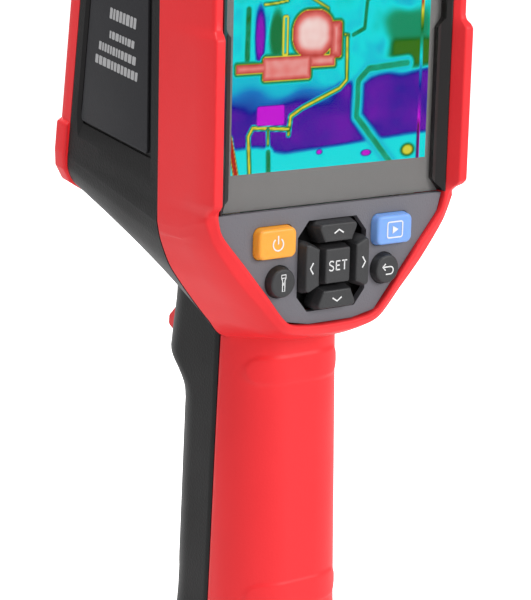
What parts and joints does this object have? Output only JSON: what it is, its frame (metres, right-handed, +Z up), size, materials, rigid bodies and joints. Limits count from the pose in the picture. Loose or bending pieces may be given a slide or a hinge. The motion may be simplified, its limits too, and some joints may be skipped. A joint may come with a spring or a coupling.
{
  "type": "pistol-grip thermal imaging camera",
  "caption": "Handheld thermal camera: red and black housing with a display and keypad facing the operator, a lens barrel pitched up at the front, and a pistol handle with a trigger.",
  "frame": {"origin": "The mouth of the tripod thread, in the middle of the flat base.", "axes": "+Z is up along the handle, +Y points to the target away from the operator, +X is to the operator's right."},
  "size_m": [0.0756, 0.0886, 0.2355],
  "materials": {
    "red_shell": "satin red moulded plastic",
    "black_shell": "fine-grained black plastic",
    "front_panel": "smooth black plastic",
    "pad_rubber": "soft ribbed rubber",
    "gasket_rubber": "soft rubber",
    "label_plate": "dark grey satin film",
    "bezel": "black plastic",
    "display_glass": "clear cover glass",
    "lcd": "display picture under glass",
    "keypad": "dark grey satin plastic",
    "circuit_board": "green solder mask",
    "brass_part": "turned brass",
    "screw_steel": "bright zinc plate",
    "screw_black": "black oxide",
    "key_orange": "translucent orange silicone, hard coated",
    "key_blue": "translucent blue silicone, hard coated",
    "key_dark": "dark grey silicone",
    "lens_barrel": "black anodised",
    "retainer_metal": "dark anodised",
    "infrared_glass": "coated germanium",
    "detector_case": "cast and machined",
    "module_black": "black moulding",
    "camera_glass": "dark coated glass",
    "led": "phosphor-topped emitter on a board",
    "lamp_glass": "clear lens",
    "spring_steel": "drawn wire",
    "battery": "sleeved cell",
    "flap_rubber": "matt rubber-faced plastic",
    "socket_metal": "folded tinned sheet",
    "card_plastic": "black plastic"
  },
  "bodies": {
    "shell": {"rear_shell": "red_shell", "mid_body": "black_shell", "front_shell": "red_shell", "shell_gasket": "gasket_rubber", "handle_front": "black_shell", "grip_pad": "pad_rubber", "base_cap": "black_shell", "side_plate_left": "label_plate", "side_plate_right": "label_plate", "bezel_frame": "bezel", "display_window": "display_glass", "lcd_module": "lcd", "keypad_plate": "keypad", "key_mat": "gasket_rubber", "key_board": "circuit_board", "main_board": "circuit_board", "board_standoffs": "brass_part", "board_screws": "screw_steel", "shell_screws": "screw_steel", "front_panel": "front_panel", "lens_barrel": "lens_barrel", "lens_retainer": "retainer_metal", "infrared_lens": "infrared_glass", "detector_module": "detector_case", "shutter_motor": "module_black", "camera_module": "module_black", "camera_window": "camera_glass", "lamp_led": "led", "lamp_lens": "lamp_glass", "trigger_spring": "spring_steel", "trigger_switch": "module_black", "battery_cell": "battery", "battery_cradle": "module_black", "base_screws": "screw_black", "tripod_insert": "brass_part", "flap_pin": "spring_steel", "usb_socket": "socket_metal", "card_socket": "socket_metal", "memory_card": "card_plastic", "buzzer": "module_black"},
    "key_power": {"key_power": "key_orange"},
    "key_gallery": {"key_gallery": "key_blue"},
    "key_torch": {"key_torch": "key_dark"},
    "key_back": {"key_back": "key_dark"},
    "key_up": {"key_up": "key_dark"},
    "key_down": {"key_down": "key_dark"},
    "key_left": {"key_left": "key_dark"},
    "key_right": {"key_right": "key_dark"},
    "key_set": {"key_set": "key_dark"},
    "trigger": {"trigger": "red_shell"},
    "port_flap": {"port_flap": "flap_rubber"},
    "shutter_flag": {"shutter_flag": "module_black"}
  },
  "joints": [
    {"name": "press_power", "type": "slide", "parent": "shell", "child": "key_power", "axis": [0, 1, 0], "range_m": [0, 0.0008], "stiffness_N_per_m": 400},
    {"name": "press_gallery", "type": "slide", "parent": "shell", "child": "key_gallery", "axis": [0, 1, 0], "range_m": [0, 0.0008], "stiffness_N_per_m": 400},
    {"name": "press_torch", "type": "slide", "parent": "shell", "child": "key_torch", "axis": [0, 1, 0], "range_m": [0, 0.0008], "stiffness_N_per_m": 400},
    {"name": "press_back", "type": "slide", "parent": "shell", "child": "key_back", "axis": [0, 1, 0], "range_m": [0, 0.0008], "stiffness_N_per_m": 400},
    {"name": "press_up", "type": "slide", "parent": "shell", "child": "key_up", "axis": [0, 1, 0], "range_m": [0, 0.0008], "stiffness_N_per_m": 400},
    {"name": "press_down", "type": "slide", "parent": "shell", "child": "key_down", "axis": [0, 1, 0], "range_m": [0, 0.0008], "stiffness_N_per_m": 400},
    {"name": "press_left", "type": "slide", "parent": "shell", "child": "key_left", "axis": [0, 1, 0], "range_m": [0, 0.0008], "stiffness_N_per_m": 400},
    {"name": "press_right", "type": "slide", "parent": "shell", "child": "key_right", "axis": [0, 1, 0], "range_m": [0, 0.0008], "stiffness_N_per_m": 400},
    {"name": "press_set", "type": "slide", "parent": "shell", "child": "key_set", "axis": [0, 1, 0], "range_m": [0, 0.0008], "stiffness_N_per_m": 400},
    {"name": "trigger_slide", "type": "slide", "parent": "shell", "child": "trigger", "axis": [0, -1, 0], "range_m": [0, 0.003], "stiffness_N_per_m": 500, "deforming": ["trigger_spring"]},
    {"name": "port_flap_hinge", "type": "hinge", "parent": "shell", "child": "port_flap", "pos_m": [0, -0.00604, 0.22933], "axis": [1, 0, 0], "range_deg": [0, 90]},
    {"name": "shutter_hinge", "type": "hinge", "parent": "shell", "child": "shutter_flag", "pos_m": [0.015, 0.02231, 0.19524], "axis": [0, 0.989, 0.1478], "range_deg": [0, 50]}
  ]
}
